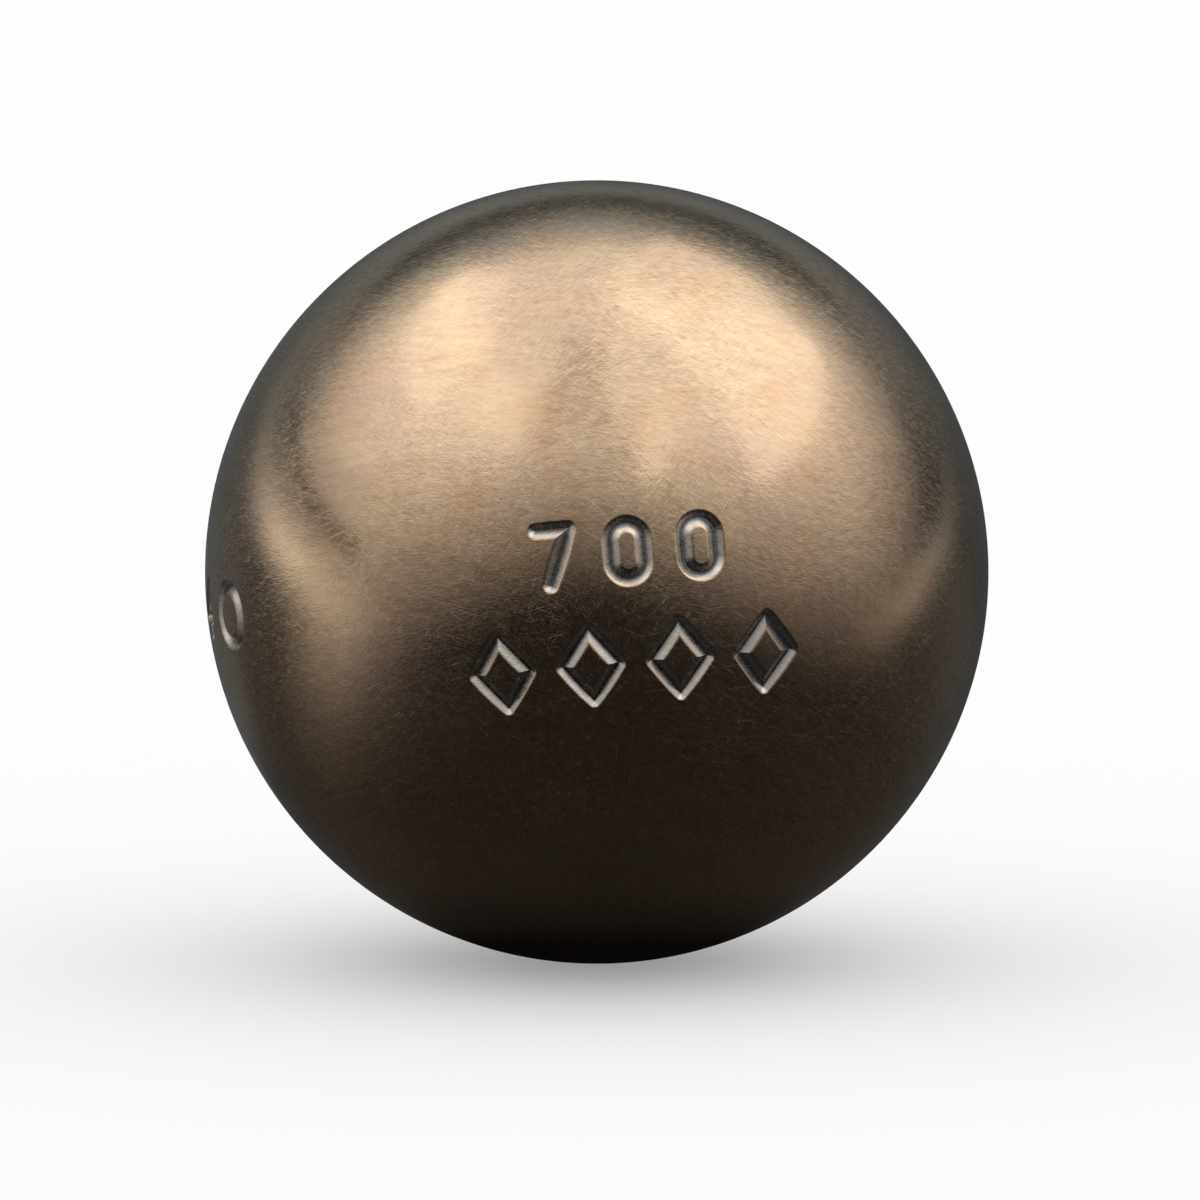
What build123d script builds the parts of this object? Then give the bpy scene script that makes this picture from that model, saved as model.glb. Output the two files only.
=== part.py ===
from build123d import *
from math import degrees, sqrt
import os

# Petanque boule: a hollow steel ball made of two half shells, joined by a weld at their rims.
# Millimetres. The origin is the centre of the ball, +Z is up and the front faces -Y.
# Azimuth is counted in degrees from the front towards +X, elevation from the horizon up.

# Ball
outer_diameter = 74.0
wall = 6.13
seam_azimuth = -45.0
steel_density = 7.85e-3  # grams in a cubic millimetre

# Weld between the half shells: a V groove over a straight root
groove_width = 5.0
root_gap = 1.0
root_face = 1.6
root_bead_width = 3.0
root_bead_height = 0.7

# Stamped marks: grooves with sloping walls and a narrow flat floor
mark_depth = 0.6
mark_floor = 0.12
mark_draft = 52.0
mark_proud = 0.05  # how far a cutter stands out of the ball

# Front marks: the weight in grams above a row of lozenges
front_azimuth = 4.3
front_elevation = 8.1
front_tilt = -4.4
digit_height = 5.0
digit_width = 3.0
digit_pitch = 6.6
lozenge_count = 4
lozenge_width = 5.0
lozenge_height = 6.6
lozenge_pitch = 8.4
lozenge_drop = 10.0

# Side marks: the diameter in millimetres between two rings
side_azimuth = -85.0
side_elevation = -4.4
side_tilt = 0.0
ring_diameter = 5.4
ring_spacing = 23.2

outer_radius = outer_diameter / 2
inner_radius = outer_radius - wall
cutter_height = mark_depth + mark_proud


def half_chord(radius, distance):
    """Half the chord of a circle at a distance from its centre."""
    return sqrt(radius**2 - distance**2)


def mark_plane(azimuth, elevation, tilt, along=0.0, up=0.0):
    """Floor plane of a mark, moved along the ball from its group: x right, y up, z outward."""
    group = Rot(0, 0, azimuth) * Rot(-elevation, 0, 0) * Rot(0, tilt, 0)
    shift = Rot(0, 0, degrees(along / outer_radius)) * Rot(-degrees(up / outer_radius), 0, 0)
    floor = Pos(0, mark_depth - outer_radius, 0) * Rot(90, 0, 0)
    return Plane(group * shift * floor)


def row_offsets(count, pitch):
    """Places along a centred row."""
    return [(place - (count - 1) / 2) * pitch for place in range(count)]


def stroke_cutter(plane, start, end):
    """Straight groove between two points of the floor plane."""
    line = Line(start, end, mode=Mode.PRIVATE)
    with BuildPart() as cutter:
        with BuildSketch(plane):
            with Locations(line @ 0.5):
                SlotCenterToCenter(line.length, mark_floor, rotation=line.tangent_angle_at(0))
        extrude(amount=cutter_height, taper=-mark_draft)
    return cutter.part


def outline_cutter(plane, outline):
    """Groove along a closed outline, round the island that it leaves standing."""
    with BuildPart() as cutter:
        with BuildSketch(plane):
            add(outline)
            offset(amount=mark_floor / 2)
        extrude(amount=cutter_height, taper=-mark_draft)
        with BuildSketch(plane):
            add(outline)
            offset(amount=-mark_floor / 2, kind=Kind.INTERSECTION)
        extrude(amount=cutter_height, taper=mark_draft, mode=Mode.SUBTRACT)
    return cutter.part


def seven_cutters(plane):
    """The two strokes of a 7."""
    left, right, top = -digit_width / 2, digit_width / 2, digit_height / 2
    foot = (-digit_width / 6, -digit_height / 2)
    return [
        stroke_cutter(plane, (left, top), (right, top)),
        stroke_cutter(plane, (right, top), foot),
    ]


def four_cutters(plane):
    """The three strokes of a 4."""
    left, right, stem = -digit_width / 2, digit_width / 2, digit_width / 5
    top, bottom, bar = digit_height / 2, -digit_height / 2, -digit_height / 6
    return [
        stroke_cutter(plane, (stem, top), (left, bar)),
        stroke_cutter(plane, (left, bar), (right, bar)),
        stroke_cutter(plane, (stem, top), (stem, bottom)),
    ]


with BuildSketch() as zero_outline:
    SlotOverall(digit_height, digit_width, rotation=90)

with BuildSketch() as lozenge_outline:
    Polygon(
        (0, lozenge_height / 2),
        (lozenge_width / 2, 0),
        (0, -lozenge_height / 2),
        (-lozenge_width / 2, 0),
    )

with BuildSketch() as ring_outline:
    Circle(ring_diameter / 2)

# Cutters of the front marks
front_group = (front_azimuth, front_elevation, front_tilt)
hundreds, tens, units = [mark_plane(*front_group, along) for along in row_offsets(3, digit_pitch)]
front_cutters = seven_cutters(hundreds)
for digit_plane in (tens, units):
    front_cutters.append(outline_cutter(digit_plane, zero_outline.sketch))
for along in row_offsets(lozenge_count, lozenge_pitch):
    lozenge_plane = mark_plane(*front_group, along, -lozenge_drop)
    front_cutters.append(outline_cutter(lozenge_plane, lozenge_outline.sketch))

# Cutters of the side marks
side_group = (side_azimuth, side_elevation, side_tilt)
side_tens, side_units = [mark_plane(*side_group, along) for along in row_offsets(2, digit_pitch)]
side_cutters = seven_cutters(side_tens) + four_cutters(side_units)
for along in row_offsets(2, ring_spacing):
    side_cutters.append(outline_cutter(mark_plane(*side_group, along), ring_outline.sketch))

# Profile plane of the shells and the weld: x along the axis through the poles, y up
front_pole = Plane.XZ.rotated((0, 0, seam_azimuth + 90)).z_dir
pole_axis = Axis((0, 0, 0), front_pole)
profile_plane = Plane((0, 0, 0), x_dir=front_pole, z_dir=front_pole.cross(Vector(0, 0, 1)))

# Rim points, as distances from the seam and from the axis
groove_edge = (groove_width / 2, half_chord(outer_radius, groove_width / 2))
root_inner = (root_gap / 2, half_chord(inner_radius, root_gap / 2))
root_outer = (root_gap / 2, root_inner[1] + root_face)
bead_edge = (root_bead_width / 2, half_chord(inner_radius, root_bead_width / 2))


def shell_profile(side):
    """Half section of a shell on one side of the seam, from its pole to its bevelled rim."""
    with BuildSketch(profile_plane) as profile:
        with BuildLine():
            outer = RadiusArc(
                (side * outer_radius, 0), (side * groove_edge[0], groove_edge[1]), -side * outer_radius
            )
            rim = Polyline(
                outer @ 1, (side * root_outer[0], root_outer[1]), (side * root_inner[0], root_inner[1])
            )
            inner = RadiusArc(rim @ 1, (side * inner_radius, 0), side * inner_radius)
            Line(inner @ 1, outer @ 0)
        make_face()
    return profile.sketch


with BuildPart() as front_half_shell:
    add(shell_profile(1))
    revolve(axis=pole_axis)
    add(front_cutters, mode=Mode.SUBTRACT)

with BuildPart() as rear_half_shell:
    add(shell_profile(-1))
    revolve(axis=pole_axis)
    add(side_cutters, mode=Mode.SUBTRACT)

with BuildPart() as weld_bead:
    with BuildSketch(profile_plane):
        with BuildLine():
            cap = RadiusArc((-groove_edge[0], groove_edge[1]), groove_edge, outer_radius)
            right_flank = Polyline(cap @ 1, root_outer, root_inner)
            right_foot = RadiusArc(right_flank @ 1, bead_edge, inner_radius)
            root = ThreePointArc(
                right_foot @ 1, (0, inner_radius - root_bead_height), (-bead_edge[0], bead_edge[1])
            )
            left_foot = RadiusArc(root @ 1, (-root_inner[0], root_inner[1]), inner_radius)
            Polyline(left_foot @ 1, (-root_outer[0], root_outer[1]), cap @ 0)
        make_face()
    revolve(axis=pole_axis)

os.makedirs("parts", exist_ok=True)
front_half_shell.part.label = "front_half_shell"
export_step(front_half_shell.part, "parts/front_half_shell.step")
rear_half_shell.part.label = "rear_half_shell"
export_step(rear_half_shell.part, "parts/rear_half_shell.step")
weld_bead.part.label = "weld_bead"
export_step(weld_bead.part, "parts/weld_bead.step")

volume = front_half_shell.part.volume + rear_half_shell.part.volume + weld_bead.part.volume
print("mass in grams", round(volume * steel_density, 1))
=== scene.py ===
import itertools
import math

import bpy
import numpy as np
from mathutils import Matrix, Vector
from mathutils.geometry import delaunay_2d_cdt


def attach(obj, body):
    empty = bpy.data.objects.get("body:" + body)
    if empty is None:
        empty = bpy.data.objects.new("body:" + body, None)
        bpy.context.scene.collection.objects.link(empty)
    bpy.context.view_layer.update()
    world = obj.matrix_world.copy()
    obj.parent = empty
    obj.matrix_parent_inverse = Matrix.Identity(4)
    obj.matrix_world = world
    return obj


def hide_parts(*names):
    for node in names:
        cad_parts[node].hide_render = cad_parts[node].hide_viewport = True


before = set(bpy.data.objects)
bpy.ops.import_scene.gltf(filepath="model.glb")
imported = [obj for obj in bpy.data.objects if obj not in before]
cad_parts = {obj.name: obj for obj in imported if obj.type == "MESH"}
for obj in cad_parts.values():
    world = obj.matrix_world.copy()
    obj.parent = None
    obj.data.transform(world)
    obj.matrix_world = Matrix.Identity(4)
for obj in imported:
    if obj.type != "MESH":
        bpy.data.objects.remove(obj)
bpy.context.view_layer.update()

# Petanque boule in metres. The origin is the centre of the ball, +Z is up and the front faces -Y.
# Azimuth is counted in degrees from the front towards +X, elevation from the horizon up.
MM = 0.001

# Ball
BALL_RADIUS = 37.0 * MM
WALL = 6.13 * MM
INNER_RADIUS = BALL_RADIUS - WALL
SEAM_AZIMUTH = -45.0

# Weld between the half shells: a V groove over a straight root
GROOVE_WIDTH = 5.0 * MM
ROOT_GAP = 1.0 * MM
ROOT_FACE = 1.6 * MM
ROOT_BEAD_WIDTH = 3.0 * MM
ROOT_BEAD_HEIGHT = 0.7 * MM

# Stamped marks: grooves with sloping walls, a narrow flat floor and lips worn round
MARK_DEPTH = 0.6 * MM
MARK_FLOOR = 0.12 * MM
MARK_DRAFT = math.radians(52.0)
LIP_ROUND = 0.10 * MM

# Front marks: the weight in grams above a row of lozenges
FRONT_GROUP = (4.3, 8.1, -4.4)  # azimuth, elevation and tilt
DIGIT_HEIGHT = 5.0 * MM
DIGIT_WIDTH = 3.0 * MM
DIGIT_PITCH = 6.6 * MM
LOZENGE_COUNT = 4
LOZENGE_WIDTH = 5.0 * MM
LOZENGE_HEIGHT = 6.6 * MM
LOZENGE_PITCH = 8.4 * MM
LOZENGE_DROP = 10.0 * MM

# Side marks: the diameter in millimetres between two rings
SIDE_GROUP = (-85.0, -4.4, 0.0)
RING_DIAMETER = 5.4 * MM
RING_SPACING = 23.2 * MM

# Fineness of the meshes
RIM_POINTS = 256
INNER_RINGS = 24
SKIN_RINGS = 7
FOOT_RINGS = 3
BEAD_RINGS = 11
STATION = 0.11 * MM  # between points along a stroke
FAN_POINTS = 48  # round the end or corner of a stroke
LIP_STEPS = np.array([-1.2, -0.8, -0.4, 0.0, 0.4, 0.8, 1.2])
OUTER_STEPS = np.array([0.24, 0.38, 0.6]) * MM  # beyond the lip
WALL_STEPS = np.array([0.25, 0.5, 0.75])
CREASE_STEPS = np.arange(0.5, 20) * STATION / 2
STROKE_BAND = 1.45 * MM
FINE_BAND = 3.0 * MM
FINE_SPACING = 0.3 * MM
COARSE_SPACING = 0.9 * MM
MERGE = 0.03 * MM
STEP_SLACK = MERGE / 10  # by which a point may miss its step from the strokes
MARK_REACH = 0.25 * BALL_RADIUS  # beyond which a mark is not looked for
CORNER_ANGLE = math.radians(20)  # from which a bend in a stroke gets a fan of points
STRAIGHT_LENGTH = 5 * STATION  # from which a stroke counts as straight
PARALLEL_SINE = 0.05  # below which two strokes make no crease
LIP_ROUNDS = 4  # of the search for a lip
CREASE_ANGLE = math.radians(28.0)


# Strokes of the marks: lists of polylines in the mark's plane, x right and y up

def seven():
    """The two strokes of a 7."""
    side, top = DIGIT_WIDTH / 2, DIGIT_HEIGHT / 2
    return [np.array([(-side, top), (side, top), (-DIGIT_WIDTH / 6, -top)])]


def four():
    """The three strokes of a 4."""
    side, top = DIGIT_WIDTH / 2, DIGIT_HEIGHT / 2
    stem, bar = DIGIT_WIDTH / 5, -DIGIT_HEIGHT / 6
    return [np.array([(stem, top), (-side, bar), (side, bar)]), np.array([(stem, top), (stem, -top)])]


def zero():
    """The outline of a 0: two half circles and straight sides."""
    radius = DIGIT_WIDTH / 2
    turn = np.linspace(0, math.pi, round(math.pi * radius / STATION))
    arch = np.column_stack([np.cos(turn), np.sin(turn)]) * radius + (0, DIGIT_HEIGHT / 2 - radius)
    return [np.concatenate([arch, -arch, arch[:1]])]


def lozenge():
    """The outline of a lozenge."""
    side, top = LOZENGE_WIDTH / 2, LOZENGE_HEIGHT / 2
    return [np.array([(0, top), (side, 0), (0, -top), (-side, 0), (0, top)])]


def ring():
    """A circle."""
    radius = RING_DIAMETER / 2
    turn = np.linspace(0, 2 * math.pi, round(2 * math.pi * radius / STATION))
    return [np.column_stack([np.cos(turn), np.sin(turn)]) * radius]


def mark_axes(azimuth, elevation, tilt, along=0.0, up=0.0):
    """Axes of a mark, moved along the ball from its group, as columns: right, up and outward."""
    turned = (
        Matrix.Rotation(math.radians(azimuth), 3, "Z")
        @ Matrix.Rotation(math.radians(-elevation), 3, "X")
        @ Matrix.Rotation(math.radians(tilt), 3, "Y")
        @ Matrix.Rotation(along / BALL_RADIUS, 3, "Z")
        @ Matrix.Rotation(-up / BALL_RADIUS, 3, "X")
    )
    facing_front = Matrix(((1, 0, 0), (0, 0, -1), (0, 1, 0)))
    return np.array(turned @ facing_front)


def row_offsets(count, pitch):
    """Places along a centred row."""
    return [(place - (count - 1) / 2) * pitch for place in range(count)]


def front_marks():
    """Axes and strokes of each front mark."""
    marks = []
    for along, strokes in zip(row_offsets(3, DIGIT_PITCH), (seven(), zero(), zero())):
        marks.append((mark_axes(*FRONT_GROUP, along), strokes))
    for along in row_offsets(LOZENGE_COUNT, LOZENGE_PITCH):
        marks.append((mark_axes(*FRONT_GROUP, along, -LOZENGE_DROP), lozenge()))
    return marks


def side_marks():
    """Axes and strokes of each side mark."""
    marks = []
    for along, strokes in zip(row_offsets(2, DIGIT_PITCH), (seven(), four())):
        marks.append((mark_axes(*SIDE_GROUP, along), strokes))
    for along in row_offsets(2, RING_SPACING):
        marks.append((mark_axes(*SIDE_GROUP, along), ring()))
    return marks


# Shape of a stamped mark

def stroke_distance(points, strokes):
    """Distance of points in a mark's plane from its strokes."""
    start = np.concatenate([line[:-1] for line in strokes])
    run = np.concatenate([np.diff(line, axis=0) for line in strokes])
    offset = points[:, None] - start
    share = np.clip((offset * run).sum(2) / (run * run).sum(1), 0, 1)
    return np.linalg.norm(offset - share[..., None] * run, axis=2).min(1)


def skin_height(points):
    """Height of the ball's skin over a mark's floor plane."""
    return np.sqrt(BALL_RADIUS**2 - (points**2).sum(-1)) - (BALL_RADIUS - MARK_DEPTH)


def stamped_height(points, strokes):
    """Height of the stamped surface over the floor plane: walls that round into the skin at the lips."""
    wall = np.maximum(stroke_distance(points, strokes) - MARK_FLOOR / 2, 0) / math.tan(MARK_DRAFT)
    skin = skin_height(points)
    meeting = np.maximum(LIP_ROUND - np.abs(wall - skin), 0)
    return np.minimum(wall, skin) - meeting**2 / (4 * LIP_ROUND)


def lip_reach(points, ways):
    """Distance from a stroke, along a way, at which its wall meets the skin."""
    reach = np.full(len(points), MARK_DEPTH)
    for _ in range(LIP_ROUNDS):
        reach = MARK_FLOOR / 2 + skin_height(points + reach[:, None] * ways) * math.tan(MARK_DRAFT)
    return reach


def ways_out(strokes):
    """Start points and directions that lead away from the strokes, round ends and corners too."""
    starts, ways = [], []
    turn = np.linspace(0, 2 * math.pi, FAN_POINTS, endpoint=False)
    fan = np.column_stack([np.cos(turn), np.sin(turn)])
    for line in strokes:
        run = np.diff(line, axis=0)
        length = np.linalg.norm(run, axis=1)
        unit = run / length[:, None]
        for start, step, way, count in zip(line, run, unit, np.maximum(1, length / STATION).astype(int)):
            points = start + np.arange(count)[:, None] / count * step
            for side in (1, -1):
                starts.append(points)
                ways.append(np.tile((-side * way[1], side * way[0]), (count, 1)))
        closed = np.allclose(line[0], line[-1])
        before = unit if closed else unit[:-1]
        after = np.roll(unit, -1, axis=0) if closed else unit[1:]
        corners = list(line[1:][: len(before)][(before * after).sum(1) < math.cos(CORNER_ANGLE)])
        for corner in corners + ([] if closed else [line[0], line[-1]]):
            starts.append(np.tile(corner, (FAN_POINTS, 1)))
            ways.append(fan)
    return np.concatenate(starts), np.concatenate(ways)


def crease_points(strokes, offsets):
    """Points at one distance from two straight strokes, where their walls meet in a crease."""
    straight = []
    for line in strokes:
        for start, end in zip(line, line[1:]):
            length = np.linalg.norm(end - start)
            if length > STRAIGHT_LENGTH:
                straight.append((start, (end - start) / length))
    points, distances = [], []
    for (p, u), (q, v) in itertools.combinations(straight, 2):
        sine = u[0] * v[1] - u[1] * v[0]
        if abs(sine) < PARALLEL_SINE:
            continue
        for side_p, side_q, offset in itertools.product((1, -1), (1, -1), offsets):
            a = p + side_p * offset * np.array((-u[1], u[0]))
            b = q + side_q * offset * np.array((-v[1], v[0]))
            points.append(a + ((b - a)[0] * v[1] - (b - a)[1] * v[0]) / sine * u)
            distances.append(offset)
    return np.array(points).reshape(-1, 2), np.array(distances)


def stroke_points(strokes):
    """Points along the strokes of a mark, at steps from the middle of the floor to past the lip."""
    starts, ways = ways_out(strokes)
    reach = lip_reach(starts, ways)[:, None]
    floor = np.full_like(reach, MARK_FLOOR / 2)
    lip = LIP_ROUND * math.tan(MARK_DRAFT) * LIP_STEPS
    wall = floor + (reach - floor) * WALL_STEPS
    steps = np.hstack([0 * floor, floor, wall, reach + lip, reach + OUTER_STEPS])
    points = (starts[:, None] + steps[..., None] * ways[:, None]).reshape(-1, 2)
    creases, crease_steps = crease_points(strokes, CREASE_STEPS)
    points = np.concatenate([creases, points])
    steps = np.concatenate([crease_steps, steps.ravel()])
    points = points[np.abs(stroke_distance(points, strokes) - steps) < STEP_SLACK]
    cells = np.unique(np.round(points / MERGE), axis=0, return_index=True)[1]
    return points[np.sort(cells)]


# Meshes of the half shells and the weld

def lattice(spacing):
    """Even points on the ball, about one spacing apart."""
    count = round(4 * math.pi * BALL_RADIUS**2 / (math.sqrt(0.75) * spacing**2))
    place = np.arange(count) + 0.5
    height = 1 - 2 * place / count
    turn = place * math.pi * (3 - math.sqrt(5))
    across = np.sqrt(1 - height**2)
    return BALL_RADIUS * np.column_stack([across * np.cos(turn), across * np.sin(turn), height])


def mark_distance(points, marks):
    """Distance of points on the ball from the nearest stroke."""
    nearest = np.full(len(points), BALL_RADIUS)
    for axes, strokes in marks:
        local = points @ axes
        near = np.where(np.linalg.norm(local - (0, 0, BALL_RADIUS), axis=1) < MARK_REACH)[0]
        nearest[near] = np.minimum(nearest[near], stroke_distance(local[near, :2], strokes))
    return nearest


def shell_axes(side):
    """Axes of a half shell as columns, the last one out through its pole. Side 1 is the front."""
    pole_azimuth = math.radians(SEAM_AZIMUTH + 90)
    pole = side * np.array([math.sin(pole_azimuth), -math.cos(pole_azimuth), 0])
    up = np.array([0.0, 0.0, 1.0])
    return np.column_stack([np.cross(up, pole), up, pole])


def revolved(profile, axes):
    """A ring of vertices round the pole axis for each profile point: place along the axis, and radius."""
    turn = np.linspace(0, 2 * math.pi, RIM_POINTS, endpoint=False)
    circle = np.column_stack([np.cos(turn), np.sin(turn)])
    rings = [np.column_stack([radius * circle, np.full(RIM_POINTS, along)]) for along, radius in profile]
    return np.concatenate(rings) @ axes.T


def ring_faces(first, second):
    """Quads between two rings, given by the numbers of their first vertices."""
    here = np.arange(RIM_POINTS)
    after = np.roll(here, -1)
    return np.column_stack([first + after, first + here, second + here, second + after]).tolist()


def on_circle(radius, along):
    """Profile point of a circle about the ball's centre: place along the axis, and radius there."""
    return along, math.sqrt(max(radius**2 - along**2, 0))


def arc(radius, start, end, count):
    """Profile points on such a circle, from one place along the axis to another."""
    turn = np.linspace(math.acos(start / radius), math.acos(end / radius), count)
    return [on_circle(radius, radius * math.cos(angle)) for angle in turn]


def mirrored(profile):
    """A profile on the other side of the seam, in the other order."""
    return [(-along, radius) for along, radius in reversed(profile)]


# Profile points of the rims, on the side of the front shell
RIM_EDGE = on_circle(BALL_RADIUS, GROOVE_WIDTH / 2)
ROOT_INNER = on_circle(INNER_RADIUS, ROOT_GAP / 2)
ROOT_OUTER = (ROOT_INNER[0], ROOT_INNER[1] + ROOT_FACE)


def stamped_cap(axes, marks):
    """Outer skin of a half shell with its marks: vertices, how deep each lies in a mark, and triangles."""
    skin = [revolved([RIM_EDGE], axes)]
    sunk = [np.zeros(RIM_POINTS)]
    drop = [np.zeros((RIM_POINTS, 3))]
    for mark, strokes in marks:
        points = stroke_points(strokes)
        depth = skin_height(points) - stamped_height(points, strokes)
        top = np.sqrt(BALL_RADIUS**2 - (points**2).sum(1))
        skin.append(np.column_stack([points, top]) @ mark.T)
        sunk.append(depth)
        drop.append(depth[:, None] * mark[:, 2])
    for spacing, low, high in ((FINE_SPACING, STROKE_BAND, FINE_BAND), (COARSE_SPACING, FINE_BAND, np.inf)):
        points = lattice(spacing)
        points = points[points @ axes[:, 2] > GROOVE_WIDTH / 2 + COARSE_SPACING / 2]
        distance = mark_distance(points, marks)
        points = points[(distance > low) & (distance <= high)]
        skin.append(points)
        sunk.append(np.zeros(len(points)))
        drop.append(np.zeros((len(points), 3)))
    skin, sunk, drop = np.concatenate(skin), np.concatenate(sunk), np.concatenate(drop)
    local = skin @ axes / BALL_RADIUS
    flat = local[:, :2] / (1 + local[:, 2:])
    found, _, triangles, *_ = delaunay_2d_cdt([Vector(p) for p in flat], [], [], 0, 1e-9)
    if len(found) != len(skin):
        raise ValueError("points of the skin fell together")
    return skin - drop, sunk, triangles


def mesh_piece(name, vertices, faces, on_skin, sunk=None):
    """A mesh object with smooth faces, crisp creases and the ball's own normals on its skin."""
    mesh = bpy.data.meshes.new(name)
    mesh.from_pydata(vertices.tolist(), [], faces)
    mesh.shade_smooth()
    mesh.set_sharp_from_angle(angle=CREASE_ANGLE)
    corner = np.zeros(len(mesh.loops), int)
    mesh.loops.foreach_get("vertex_index", corner)
    sides = np.zeros(len(mesh.polygons), int)
    mesh.polygons.foreach_get("loop_total", sides)
    skin_face = np.array([all(on_skin[v] for v in face) for face in faces])
    normals = vertices / np.linalg.norm(vertices, axis=1)[:, None]
    mesh.normals_split_custom_set((normals[corner] * np.repeat(skin_face, sides)[:, None]).tolist())
    depth = mesh.attributes.new("sunk", "FLOAT", "POINT")
    depth.data.foreach_set("value", (np.zeros(len(vertices)) if sunk is None else sunk) / MARK_DEPTH)
    piece = bpy.data.objects.new(name, mesh)
    bpy.context.scene.collection.objects.link(piece)
    return piece


def half_shell(name, side, marks):
    """A half shell: stamped skin, bevelled rim and hollow inside."""
    axes = shell_axes(side)
    skin, sunk, faces = stamped_cap(axes, marks)
    hollow = arc(INNER_RADIUS, ROOT_GAP / 2, INNER_RADIUS, INNER_RINGS)[1:-1]
    profile = [ROOT_OUTER, ROOT_INNER] + hollow
    inside = revolved(profile, axes)
    pole = INNER_RADIUS * axes[:, 2]
    vertices = np.concatenate([skin, inside, pole[None]])
    starts = [0] + [len(skin) + RIM_POINTS * place for place in range(len(profile))]
    for first, second in zip(starts, starts[1:]):
        faces += ring_faces(first, second)
    tip = len(vertices) - 1
    faces += [(quad[0], quad[1], tip) for quad in ring_faces(starts[-1], tip)]
    on_skin = np.zeros(len(vertices), bool)
    on_skin[: len(skin)] = sunk == 0
    return mesh_piece(name, vertices, faces, on_skin, np.concatenate([sunk, np.zeros(len(inside) + 1)]))


def weld_ring(name):
    """The weld: flush skin, the flanks of both rims and a rounded root bead inside."""
    cap = arc(BALL_RADIUS, RIM_EDGE[0], -RIM_EDGE[0], SKIN_RINGS)
    foot = arc(INNER_RADIUS, ROOT_BEAD_WIDTH / 2, ROOT_GAP / 2, FOOT_RINGS)
    half, sag = ROOT_BEAD_WIDTH / 2, foot[0][1] - (INNER_RADIUS - ROOT_BEAD_HEIGHT)
    bead_radius = (half**2 + sag**2) / (2 * sag)
    bead_turn = math.asin(half / bead_radius)
    crown = []
    for angle in np.linspace(-bead_turn, bead_turn, BEAD_RINGS)[1:-1]:
        fall = bead_radius * math.cos(angle) - bead_radius * math.cos(bead_turn)
        crown.append((bead_radius * math.sin(angle), foot[0][1] - fall))
    flank = foot + [ROOT_OUTER]
    profile = cap + mirrored(flank) + crown + flank
    vertices = revolved(profile, shell_axes(1))
    starts = [RIM_POINTS * place for place in range(len(profile))]
    faces = []
    for first, second in zip(starts, starts[1:] + starts[:1]):
        faces += ring_faces(first, second)
    on_skin = np.arange(len(vertices)) < RIM_POINTS * len(cap)
    return mesh_piece(name, vertices, faces, on_skin)


# Materials

# Steel: linear base colours
BRONZE = (0.72, 0.519, 0.34, 1.0)
ROSE = (0.67, 0.468, 0.315, 1.0)
GOLD = (0.765, 0.552, 0.348, 1.0)
BARE_STEEL = (0.72, 0.68, 0.63, 1.0)
DEPOSIT = (0.22, 0.21, 0.195, 1.0)
RUST = (0.71, 0.465, 0.287, 1.0)
OXIDE = (0.10, 0.085, 0.075, 1.0)

# Roughness of the skin, in the marks and inside, and what a line or a scratch adds
SKIN_ROUGHNESS = 0.16
MARK_ROUGHNESS = 0.26
INSIDE_ROUGHNESS = 0.75
LINE_ROUGHNESS = 0.04
SCRATCH_ROUGHNESS = 0.20

# Stains: sizes in millimetres, and the ranges of noise over which they set in
STAIN_SIZE = 16.0
STAIN_DETAIL = 4.0
STAIN_RANGE = (0.38, 0.66)
CLOUD_FINENESS = 1.7  # against the stains
CLOUD_DETAIL = 3.0
CLOUD_RANGE = (0.44, 0.66)
MOTTLE_SIZE = 5.0
MOTTLE_DETAIL = 4.0
MOTTLE_RANGE = (0.45, 0.68)
MOTTLE_SHARE = 0.9

# Marks: shares of their depth over which the bare metal and the deposit set in
BARE_RANGE = (0.05, 0.30)
DEPOSIT_RANGE = (0.45, 1.05)

# Lines in the steel: lengths and widths in millimetres, and turns about X and Y in degrees with a share
PATCH_SIZE = 11.0  # of areas in which some directions are stronger
PATCH_RANGE = (0.35, 0.65)
PATCH_SHARES = (0.35, 1.5)
POLE_RANGE = (0.75, 0.92)  # shares of the ball's radius
GRAIN_SIZE = (0.85, 0.11)
GRAIN_SHARE = 1.0
HAIRLINE_SIZE = (2.4, 0.14)
HAIRLINE_REACH = 0.45
LINE_SHADE = 0.115
LINE_HEIGHT = 0.0017
LINE_TURNS = (
    (20, -4, 1.0), (27, -16, 0.9), (13, 9, 0.8), (10, -38, 0.8),
    (36, 34, 0.8), (45, -48, 0.8), (70, 50, 0.8),
)
STREAK_SIZE = (6.0, 0.45)
STREAK_SHADE = 0.07
STREAK_TURNS = ((22, -5, 1.0), (14, 9, 0.8), (32, -20, 0.8))
SCRATCH_SIZE = (8.0, 0.24)
SCRATCH_REACH = 0.28
SCRATCH_HEIGHT = 0.0040
# Scratches are real wear in the bump and roughness. SCRATCH_SHADE also lightens the colour along them, a
# painted sheen for the light their rough, tilted sides catch.
SCRATCH_SHADE = 0.09
SCRATCH_TURNS = (
    (24, 12, 1.0), (16, -22, 1.0), (30, -38, 0.9),
    (10, 44, 0.9), (60, 62, 0.9), (75, -28, 0.9),
)
FRONT_REACH = (8.0, 25.0)  # millimetres towards the front, where scratches and haze grow stronger
SIDE_SHARE = 0.35

# Haze of light that fine lines scatter widely: a weak rough lobe, more in some areas
HAZE = (0.0, 0.36)
HAZE_RANGE = (0.35, 0.65)
LINE_HAZE = 0.40
SCRATCH_HAZE = 0.9
HAZE_ROUGHNESS = 0.6
HAZE_IOR = 1.8


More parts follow.
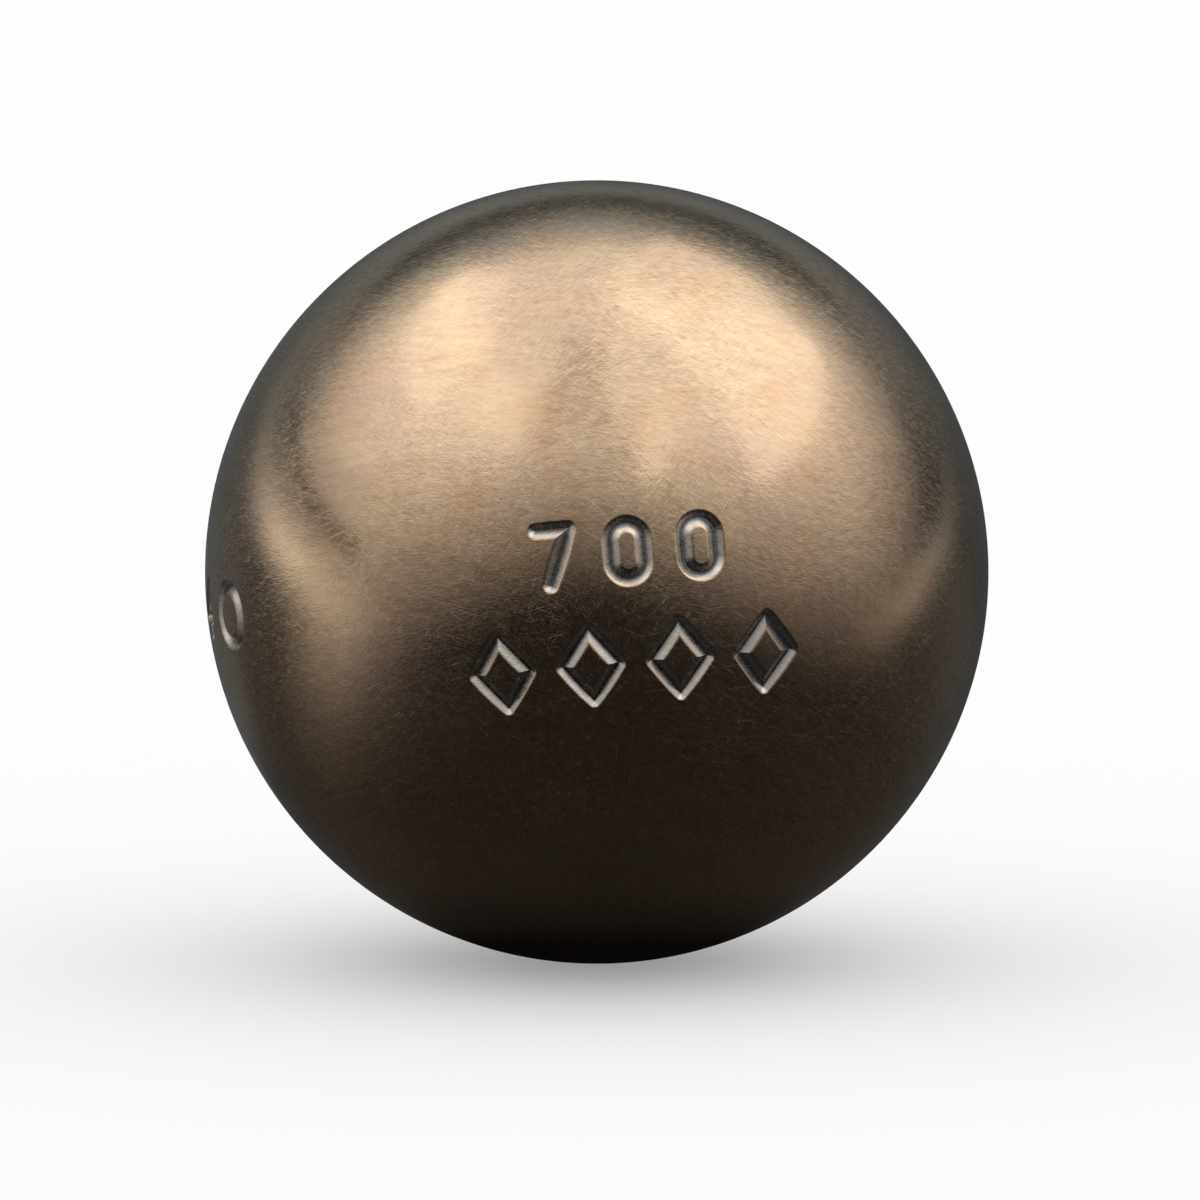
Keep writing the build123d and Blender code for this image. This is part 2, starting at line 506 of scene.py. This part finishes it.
class Nodes:
    """Adds nodes to a material, joined as they are added."""

    def __init__(self, name):
        self.material = bpy.data.materials.new(name)
        self.material.use_nodes = True
        self.tree = self.material.node_tree
        self.tree.nodes.clear()

    def add(self, kind, inputs, **settings):
        """A node whose inputs are given values or the outputs of other nodes."""
        node = self.tree.nodes.new("ShaderNode" + kind)
        for name, value in settings.items():
            setattr(node, name, value)
        for socket, value in inputs.items():
            if isinstance(value, bpy.types.NodeSocket):
                self.tree.links.new(value, node.inputs[socket])
            else:
                node.inputs[socket].default_value = value
        return node

    def math(self, operation, *values):
        """One step of arithmetic."""
        return self.add("Math", dict(enumerate(values)), operation=operation).outputs[0]

    def ramp(self, value, start, end, low=0.0, high=1.0):
        """A value carried smoothly from one range to another."""
        inputs = {0: value, 1: start, 2: end, 3: low, 4: high}
        return self.add("MapRange", inputs, interpolation_type="SMOOTHSTEP").outputs[0]

    def along(self, vector, way):
        """How far a vector reaches along a way."""
        return self.add("VectorMath", {0: vector, 1: way}, operation="DOT_PRODUCT").outputs["Value"]

    def scaled(self, vector, factor):
        """A vector or colour times a factor."""
        return self.add("VectorMath", {0: vector, "Scale": factor}, operation="SCALE").outputs[0]

    def noise(self, place, scale, detail):
        """Soft noise between 0 and 1."""
        return self.add("TexNoise", {"Vector": place, "Scale": scale, "Detail": detail}).outputs[0]

    def mix(self, share, first, second):
        """A colour between two others."""
        return self.add("Mix", {0: share, 6: first, 7: second}, data_type="RGBA").outputs[2]

    def total(self, values):
        """The sum of several values."""
        result = values[0]
        for value in values[1:]:
            result = self.math("ADD", result, value)
        return result

    def finish(self, shader):
        """Joins the shader to the material's output."""
        self.add("OutputMaterial", {0: shader.outputs[0]})
        return self.material


def turned_place(nodes, place, turn_x, turn_y):
    """Coordinates turned to a direction, and 0 near its poles, where lines would spread out."""
    turn = (math.radians(turn_x), math.radians(turn_y), 0)
    inputs = {"Vector": place, "Rotation": turn}
    turned = nodes.add("VectorRotate", inputs, rotation_type="EULER_XYZ").outputs[0]
    height = nodes.math("ABSOLUTE", nodes.along(turned, (0, 0, 1)))
    radius = BALL_RADIUS / MM
    return turned, nodes.ramp(height, POLE_RANGE[0] * radius, POLE_RANGE[1] * radius, 1.0, 0.0)


def drawn_out(nodes, turned, size):
    """Turned coordinates in which a line of some length and width is about 1 long and 1 wide."""
    scale = (1 / size[0], 1 / size[0], 1 / size[1])
    return nodes.add("VectorMath", {0: turned, 1: scale}, operation="MULTIPLY").outputs[0]


def fibres(nodes, turned, size):
    """Dense fine lines of uneven length from drawn-out noise, as much above 0 as below."""
    drawn = drawn_out(nodes, turned, size)
    return nodes.math("MULTIPLY_ADD", nodes.noise(drawn, 1.0, 0.0), 2.0, -1.0)


def cut_lines(nodes, turned, size, reach):
    """Straight lines that taper at both ends, each with its own strength: some above 0, some below."""
    cell = nodes.add("TexVoronoi", {"Vector": drawn_out(nodes, turned, size), "Scale": 1.0})
    strength = nodes.math("SUBTRACT", nodes.along(cell.outputs["Color"], (2, 0, 0)), 1.0)
    return nodes.math("MULTIPLY", nodes.ramp(cell.outputs["Distance"], 0.0, reach, 1.0, 0.0), strength)


def worked_lines(nodes, place):
    """Grain and hairlines that cross each other, with other directions strong in each area."""
    layers = []
    for turn_x, turn_y, share in LINE_TURNS:
        turned, clear = turned_place(nodes, place, turn_x, turn_y)
        patch = nodes.noise(turned, 1 / PATCH_SIZE, 0.0)
        strength = nodes.ramp(patch, *PATCH_RANGE, PATCH_SHARES[0] * share, PATCH_SHARES[1] * share)
        weight = nodes.math("MULTIPLY", clear, strength)
        hairlines = cut_lines(nodes, turned, HAIRLINE_SIZE, HAIRLINE_REACH)
        both = nodes.math("MULTIPLY_ADD", fibres(nodes, turned, GRAIN_SIZE), GRAIN_SHARE, hairlines)
        layers.append(nodes.math("MULTIPLY", both, weight))
    return nodes.total(layers)


def long_streaks(nodes, place):
    """Soft streaks left by the polishing."""
    layers = []
    for turn_x, turn_y, share in STREAK_TURNS:
        turned, clear = turned_place(nodes, place, turn_x, turn_y)
        weight = nodes.math("MULTIPLY", clear, share)
        layers.append(nodes.math("MULTIPLY", fibres(nodes, turned, STREAK_SIZE), weight))
    return nodes.total(layers)


def front_share(nodes, place):
    """1 in front, and less at the sides and behind."""
    return nodes.ramp(nodes.along(place, (0, -1, 0)), *FRONT_REACH, SIDE_SHARE, 1.0)


def scratches(nodes, place):
    """Single scratches: 1 along the middle of the strongest."""
    layers = []
    for turn_x, turn_y, share in SCRATCH_TURNS:
        turned, clear = turned_place(nodes, place, turn_x, turn_y)
        weight = nodes.math("MULTIPLY", clear, share)
        cut = nodes.math("ABSOLUTE", cut_lines(nodes, turned, SCRATCH_SIZE, SCRATCH_REACH))
        layers.append(nodes.math("MULTIPLY", cut, weight))
    return nodes.math("MULTIPLY", nodes.total(layers), front_share(nodes, place))


def steel(name):
    """Ground steel with a warm tone, hairlines and scratches, bare in the marks and dull inside."""
    nodes = Nodes(name)
    coordinates = nodes.add("TexCoord", {}).outputs["Object"]
    place = nodes.scaled(coordinates, 1 / MM)
    from_centre = nodes.add("VectorMath", {0: place}, operation="LENGTH").outputs["Value"]
    dull_reach = (BALL_RADIUS - 3 * MARK_DEPTH) / MM
    skin_reach = (BALL_RADIUS - 2 * MARK_DEPTH) / MM
    inside = nodes.ramp(from_centre, dull_reach, skin_reach, 1.0, 0.0)
    sunk = nodes.add("Attribute", {}, attribute_name="sunk").outputs["Fac"]
    in_mark = nodes.ramp(sunk, *BARE_RANGE)

    stain = nodes.noise(place, 1 / STAIN_SIZE, STAIN_DETAIL)
    cloud = nodes.noise(place, CLOUD_FINENESS / STAIN_SIZE, CLOUD_DETAIL)
    mottle = nodes.noise(place, 1 / MOTTLE_SIZE, MOTTLE_DETAIL)
    lines = worked_lines(nodes, place)
    cuts = scratches(nodes, place)

    colour = nodes.mix(nodes.ramp(stain, *STAIN_RANGE), BRONZE, ROSE)
    colour = nodes.mix(nodes.ramp(mottle, *MOTTLE_RANGE, 0.0, MOTTLE_SHARE), colour, RUST)
    colour = nodes.mix(nodes.ramp(cloud, *CLOUD_RANGE), colour, GOLD)
    shade = nodes.math("MULTIPLY_ADD", lines, LINE_SHADE, 1.0)
    # Painted sheen: scratches lighten the colour a little, as if their sides caught light.
    shade = nodes.math("MULTIPLY_ADD", cuts, SCRATCH_SHADE, shade)
    shade = nodes.math("MULTIPLY_ADD", long_streaks(nodes, place), STREAK_SHADE, shade)
    colour = nodes.scaled(colour, shade)
    in_mark_colour = nodes.mix(nodes.ramp(sunk, *DEPOSIT_RANGE), BARE_STEEL, DEPOSIT)
    in_mark_colour = nodes.scaled(in_mark_colour, shade)
    colour = nodes.mix(in_mark, colour, in_mark_colour)
    colour = nodes.mix(inside, colour, OXIDE)

    rough = nodes.math("MULTIPLY_ADD", lines, LINE_ROUGHNESS, SKIN_ROUGHNESS)
    rough = nodes.math("MULTIPLY_ADD", cuts, SCRATCH_ROUGHNESS, rough)
    rough = nodes.math("MULTIPLY_ADD", in_mark, MARK_ROUGHNESS - SKIN_ROUGHNESS, rough)
    rough = nodes.math("MULTIPLY_ADD", inside, INSIDE_ROUGHNESS - SKIN_ROUGHNESS, rough)

    height = nodes.math("MULTIPLY", lines, LINE_HEIGHT)
    height = nodes.math("MULTIPLY_ADD", cuts, -SCRATCH_HEIGHT, height)
    bump = nodes.add("Bump", {"Strength": 1.0, "Distance": MM, "Height": height})
    haze = nodes.ramp(stain, *HAZE_RANGE, *HAZE)
    haze = nodes.math("MULTIPLY_ADD", lines, LINE_HAZE, haze)
    haze = nodes.math("MULTIPLY_ADD", cuts, SCRATCH_HAZE, haze)
    haze = nodes.math("MULTIPLY", haze, front_share(nodes, place))
    shader = nodes.add(
        "BsdfPrincipled",
        {
            "Base Color": colour, "Metallic": 1.0, "Roughness": rough, "Normal": bump.outputs[0],
            "Coat Weight": haze, "Coat Roughness": HAZE_ROUGHNESS, "Coat IOR": HAZE_IOR,
        },
    )
    return nodes.finish(shader)


def matte(name, red, green, blue):
    """Plain matte surface for the stage."""
    nodes = Nodes(name)
    return nodes.finish(nodes.add("BsdfDiffuse", {"Color": (red, green, blue, 1.0)}))


def glowing(name):
    """Card that gives off as much light at each point as its tone there says, tinted where it is dark."""
    nodes = Nodes(name)
    nodes.material.cycles.emission_sampling = "NONE"
    tone = nodes.add("Attribute", {}, attribute_name="tone").outputs["Fac"]
    tint = nodes.mix(nodes.add("Attribute", {}, attribute_name="behind").outputs["Fac"], WARM, COOL)
    return nodes.finish(nodes.add("Emission", {"Color": nodes.mix(tone, tint, NEUTRAL), "Strength": tone}))


# The three pieces

def add_pieces():
    """Builds the half shells and the weld in place of their plain solids."""
    shells = (("front_half_shell", 1, front_marks()), ("rear_half_shell", -1, side_marks()))
    shell_steel = steel("shell_steel")
    for node, side, marks in shells:
        shell = half_shell("stamped_" + node, side, marks)
        shell.data.materials.append(shell_steel)
        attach(shell, "root")
        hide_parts(node)
    weld = weld_ring("ground_weld_bead")
    weld.data.materials.append(steel("weld_steel"))
    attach(weld, "root")
    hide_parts("weld_bead")


# Studio: a pale floor in even light, with a fill from above.
# What the ball reflects are cards round it, dark below and bright above, that only reflections see.

WORLD_LIGHT = 0.7
FILL_LIGHT = 0.3  # from above, without shadows
FLOOR_WHITE = (0.985, 0.985, 0.985)
FLOOR_HALF_SIZE = 400.0
BOWL_RADIUS = 0.8
CARD_STEP = 0.01  # share by which each next card stands nearer
CARD_LIFT = 0.05 * MM
CARD_COLUMNS = 91
CARD_ROWS = 61
NEUTRAL = (1.0, 1.0, 1.0, 1.0)
COOL = (0.81, 1.0, 1.11, 1.0)
WARM = (1.05, 1.0, 1.0, 1.0)

# Tones that the ball reflects. Angles are in degrees.
BEHIND_START = 75  # azimuth to both sides
BEHIND_RUN = 85
DARK_TONE = 0.018
DARK_SIDE_TONE = 0.05
DARK_SIDE_RUN = 40  # up from straight below
CONTACT_SHADE = 0.85
CONTACT_ELEVATION = -57.0
CONTACT_RUN = 14
LEFT_GLOW_TONE = 0.2
LEFT_GLOW = ((-72, 17), (-12, 15))  # azimuth and elevation, each with its half width
SIDE_GLOW_TONE = 0.03
SIDE_GLOW = ((122, 22), (-10, 16))
BACK_TONE = 0.10
BACK_RISE = 0.10
BACK_RISE_START = 8
BACK_RISE_RUN = 24
BACK_RIGHT_SHARES = (0.3, 0.6)  # of the back tone: low down, and added higher up
BACK_RIGHT_START = -26
BACK_RIGHT_RUN = 46
BACK_BLEND = 15  # from right to left
BACK_EDGE = 118.0
BACK_LOW = -29.0
BACK_HIGH = 38.0
BACK_FADE = 10.0
CANOPY_TONE = 1.04
CANOPY_FOOT = -24
CANOPY_RISE = 60.0  # from the canopy's foot to its full tone, in front
CANOPY_BEND = 1.6
CAMERA_LIFT = 19  # how much higher the foot is round the camera
CAMERA_HALF_WIDTH = 40
BACK_LIFT = 60  # how much higher the foot is behind the ball
BACK_STEEPER = 22  # how much shorter the rise is there


def direction(azimuth, elevation):
    """Unit vector from the ball's centre."""
    a, e = math.radians(azimuth), math.radians(elevation)
    return Vector((math.sin(a) * math.cos(e), -math.cos(a) * math.cos(e), math.sin(e)))


def level(elevation):
    """A card's edge at one elevation."""
    return lambda azimuth: elevation


def sloping(azimuth, elevation, slope):
    """A card's straight edge through one direction."""
    return lambda other: elevation + slope * (other - azimuth)


def even(tone):
    """One tone all over a card."""
    return lambda azimuth, elevation: tone


def smooth(share):
    """A share between 0 and 1, with soft ends."""
    share = min(max(share, 0), 1)
    return share * share * (3 - 2 * share)


def behind(azimuth):
    """0 in front of the ball and beside it, rising smoothly to 1 behind it."""
    return smooth((abs(azimuth) - BEHIND_START) / BEHIND_RUN)


def bell(value, middle, half_width):
    """1 at the middle, falling smoothly to 0 on both sides."""
    return math.exp(-(((value - middle) / half_width) ** 2))


def dark_tone(azimuth, elevation):
    """Tone below: more beside the ball and behind it, less next to its foot, and some soft glows."""
    share = (1 - math.cos(math.radians(azimuth))) / 2 * min((90 + elevation) / DARK_SIDE_RUN, 1)
    tone = DARK_TONE + (DARK_SIDE_TONE - DARK_TONE) * share
    tone *= 1 - CONTACT_SHADE * min(max((CONTACT_ELEVATION - elevation) / CONTACT_RUN, 0), 1)
    tone += SIDE_GLOW_TONE * bell(abs(azimuth), *SIDE_GLOW[0]) * bell(elevation, *SIDE_GLOW[1])
    return tone + LEFT_GLOW_TONE * bell(azimuth, *LEFT_GLOW[0]) * bell(elevation, *LEFT_GLOW[1])


def back_tone(azimuth, elevation):
    """Tone behind the ball: brighter upwards, and darker low on the right."""
    least, more = BACK_RIGHT_SHARES
    right = BACK_TONE * (least + more * smooth((elevation - BACK_RIGHT_START) / BACK_RIGHT_RUN))
    low = right + (BACK_TONE - right) * smooth((azimuth % 360 - 180) / BACK_BLEND)
    return low + BACK_RISE * smooth((elevation - BACK_RISE_START) / BACK_RISE_RUN)


def surroundings(azimuth, elevation):
    """Tone all round: dark below and bright above, from higher up round the camera and behind the ball."""
    foot = CANOPY_FOOT + CAMERA_LIFT * bell(azimuth, 0, CAMERA_HALF_WIDTH) + BACK_LIFT * behind(azimuth)
    rise = (elevation - foot) / (CANOPY_RISE - BACK_STEEPER * behind(azimuth))
    dark = dark_tone(azimuth, elevation)
    tone = dark + (CANOPY_TONE - dark) * min(max(rise, 0), 1) ** CANOPY_BEND
    inward = min(abs(azimuth) - BACK_EDGE, elevation - BACK_LOW, BACK_HIGH - elevation)
    return tone + max(back_tone(azimuth, elevation) - tone, 0) * smooth(inward / BACK_FADE)


def glint(azimuth, elevation, slope, half_length, half_width, tone):
    """A card's tone that fades into the surroundings on all sides of a sloping streak."""
    middle = sloping(azimuth, elevation, slope)

    def tone_at(other, height):
        share = bell(other, azimuth, half_length) * bell(height, middle(other), half_width)
        return surroundings(other, height) + tone * share

    return tone_at


def studio_card(place, material, name, azimuths, low, high, tone):
    """A card on a bowl round the ball, cut off by the floor, seen only in reflections."""
    closer = 1 - CARD_STEP * place
    vertices, faces, tones, tints = [], [], [], []
    for azimuth in np.linspace(*azimuths, CARD_COLUMNS):
        for elevation in np.linspace(low(azimuth), high(azimuth), CARD_ROWS):
            reach = BOWL_RADIUS
            if elevation < 0:
                reach = min(reach, (BALL_RADIUS - CARD_LIFT) / math.sin(math.radians(-elevation)))
            vertices.append(direction(azimuth, elevation) * reach * closer)
            tones.append(tone(azimuth, elevation))
            tints.append(behind(azimuth))
    for column, row in itertools.product(range(CARD_COLUMNS - 1), range(CARD_ROWS - 1)):
        corner = column * CARD_ROWS + row
        faces.append((corner, corner + CARD_ROWS, corner + CARD_ROWS + 1, corner + 1))
    mesh = bpy.data.meshes.new(name)
    mesh.from_pydata(vertices, [], faces)
    mesh.attributes.new("tone", "FLOAT", "POINT").data.foreach_set("value", tones)
    mesh.attributes.new("behind", "FLOAT", "POINT").data.foreach_set("value", tints)
    mesh.materials.append(material)
    card = bpy.data.objects.new(name, mesh)
    bpy.context.scene.collection.objects.link(card)
    card.visible_camera = False
    card.visible_diffuse = False
    card.visible_shadow = False


def add_studio():
    """Floor, even world light, fill light and the cards."""
    floor_mesh = bpy.data.meshes.new("floor")
    reach = FLOOR_HALF_SIZE
    corners = [(-reach, -reach), (reach, -reach), (reach, reach), (-reach, reach)]
    floor_mesh.from_pydata([(x, y, -BALL_RADIUS) for x, y in corners], [], [(0, 1, 2, 3)])
    floor_mesh.materials.append(matte("floor", *FLOOR_WHITE))
    floor = bpy.data.objects.new("floor", floor_mesh)
    bpy.context.scene.collection.objects.link(floor)

    world = bpy.data.worlds.new("even_light")
    world.use_nodes = True
    background = world.node_tree.nodes["Background"]
    background.inputs["Color"].default_value = NEUTRAL
    background.inputs["Strength"].default_value = WORLD_LIGHT
    world.cycles.sampling_method = "NONE"
    bpy.context.scene.world = world

    lamp = bpy.data.lights.new("fill_light", "SUN")
    lamp.energy = FILL_LIGHT * math.pi
    lamp.use_shadow = False
    fill = bpy.data.objects.new("fill_light", lamp)
    bpy.context.scene.collection.objects.link(fill)
    fill.visible_glossy = False

    # Each card: name, azimuths, lower edge, upper edge and tone
    around = (-180, 180)
    cards = (
        ("surroundings", around, level(-90), level(90), surroundings),
        ("right_back_panel", (113, 162), sloping(119, 50, 0.2), level(82), even(1.12)),
        ("right_panel", (51, 114), sloping(92, 37.2, 0.28), level(89), even(1.37)),
        ("left_panel", (-137, -66), sloping(-120, 52.5, -0.22), sloping(-120, 69, -0.05), even(1.36)),
        ("left_front_panel", (-63, -28), sloping(-45, 41, -0.3), sloping(-45, 59, -0.3), even(1.18)),
        ("boom", (-23, 5), level(38), level(74), even(0.66)),
        ("right_front_panel", (14, 36), sloping(25, 36, 0.7), sloping(25, 54, 0.7), even(1.12)),
        ("left_gap", (-122, -72), sloping(-120, 17, -0.32), sloping(-120, 25, -0.34), even(0.13)),
        (
            "left_crescent", (-150, -56), sloping(-102, -9, -0.34), sloping(-102, 14, -0.34),
            glint(-102, 3.6, -0.34, 22, 5.2, 0.68),
        ),
        (
            "right_crescent", (150, 66), sloping(106, -11, 0.33), sloping(106, 8, 0.33),
            glint(106, -2.4, 0.33, 20, 3.4, 0.27),
        ),
    )
    material = glowing("card")
    for place, card in enumerate(cards):
        studio_card(place, material, *card)


# Camera: the ball fills the photograph's frame at the same place

FRAME_PIXELS = 1200
BALL_CENTRE_PIXEL = (596.8, 572.1)
BALL_RADIUS_PIXELS = 391.8
CAMERA_DISTANCE = 0.6
CAMERA_ELEVATION = 5.2
CAMERA_CLIP = (0.01, 1000.0)
SENSOR_MM = 36.0


def add_camera():
    """Camera in front of the ball, a little above it."""
    camera = bpy.data.cameras.new("camera")
    image_radius = SENSOR_MM * BALL_RADIUS_PIXELS / FRAME_PIXELS
    camera.sensor_width = SENSOR_MM
    camera.lens = image_radius / math.tan(math.asin(BALL_RADIUS / CAMERA_DISTANCE))
    camera.clip_start, camera.clip_end = CAMERA_CLIP
    holder = bpy.data.objects.new("camera", camera)
    bpy.context.scene.collection.objects.link(holder)
    back = direction(0, CAMERA_ELEVATION)
    right = Vector((1, 0, 0))
    pixel = CAMERA_DISTANCE * SENSOR_MM / camera.lens / FRAME_PIXELS
    aim = right * (FRAME_PIXELS / 2 - BALL_CENTRE_PIXEL[0]) * pixel
    aim -= back.cross(right) * (FRAME_PIXELS / 2 - BALL_CENTRE_PIXEL[1]) * pixel
    holder.location = back * CAMERA_DISTANCE
    holder.rotation_euler = (aim - holder.location).to_track_quat("-Z", "Y").to_euler()
    bpy.context.scene.camera = holder


add_pieces()
add_studio()
add_camera()
bpy.context.scene.view_settings.view_transform = "Standard"
